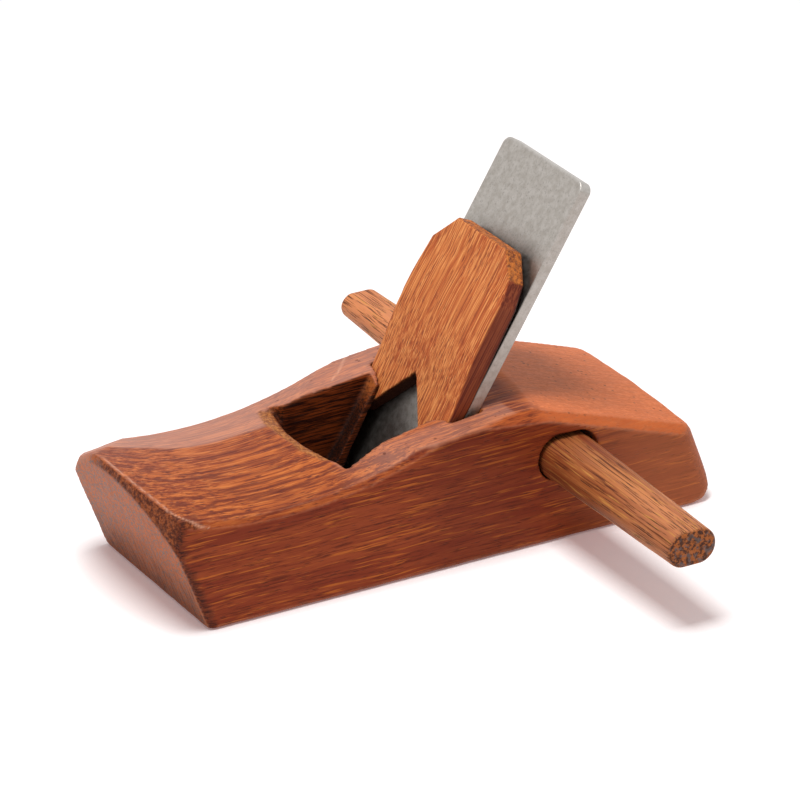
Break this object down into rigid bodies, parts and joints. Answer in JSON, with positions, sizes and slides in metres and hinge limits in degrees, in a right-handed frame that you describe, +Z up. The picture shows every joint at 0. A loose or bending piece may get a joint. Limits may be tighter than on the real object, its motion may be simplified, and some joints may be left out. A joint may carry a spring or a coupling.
{
  "type": "smoothing plane",
  "caption": "Small wooden hand plane with a hollowed toe, a steel iron held by a forked wedge in an open throat, and a loose cross handle behind it.",
  "frame": {"origin": "middle of the sole: half way along it from toe to heel, and half way across", "axes": "+X from the toe to the heel along the sole, +Y across the body to the side away from the viewer, +Z up out of the sole"},
  "size_m": [0.1084, 0.1133, 0.0621],
  "materials": {
    "body": "smooth planed hardwood, red brown, fine dark pores",
    "iron": "satin ground steel",
    "wedge": "planed hardwood, orange brown, fine pores",
    "handle": "smooth hardwood with dark grain lines"
  },
  "bodies": {
    "body": {"body": "body"},
    "iron": {"iron": "iron"},
    "wedge": {"wedge": "wedge"},
    "handle": {"handle": "handle"}
  },
  "joints": [
    {"name": "wedge_slide", "type": "slide", "parent": "body", "child": "wedge", "axis": [0.5225, 0, 0.8526], "range_m": [0, 0.03]},
    {"name": "iron_slide", "type": "slide", "parent": "body", "child": "iron", "axis": [0.5225, 0, 0.8526], "range_m": [-0.0006, 0.035]},
    {"name": "handle_slide", "type": "slide", "parent": "body", "child": "handle", "axis": [0, -1, 0], "range_m": [0, 0.07]}
  ]
}
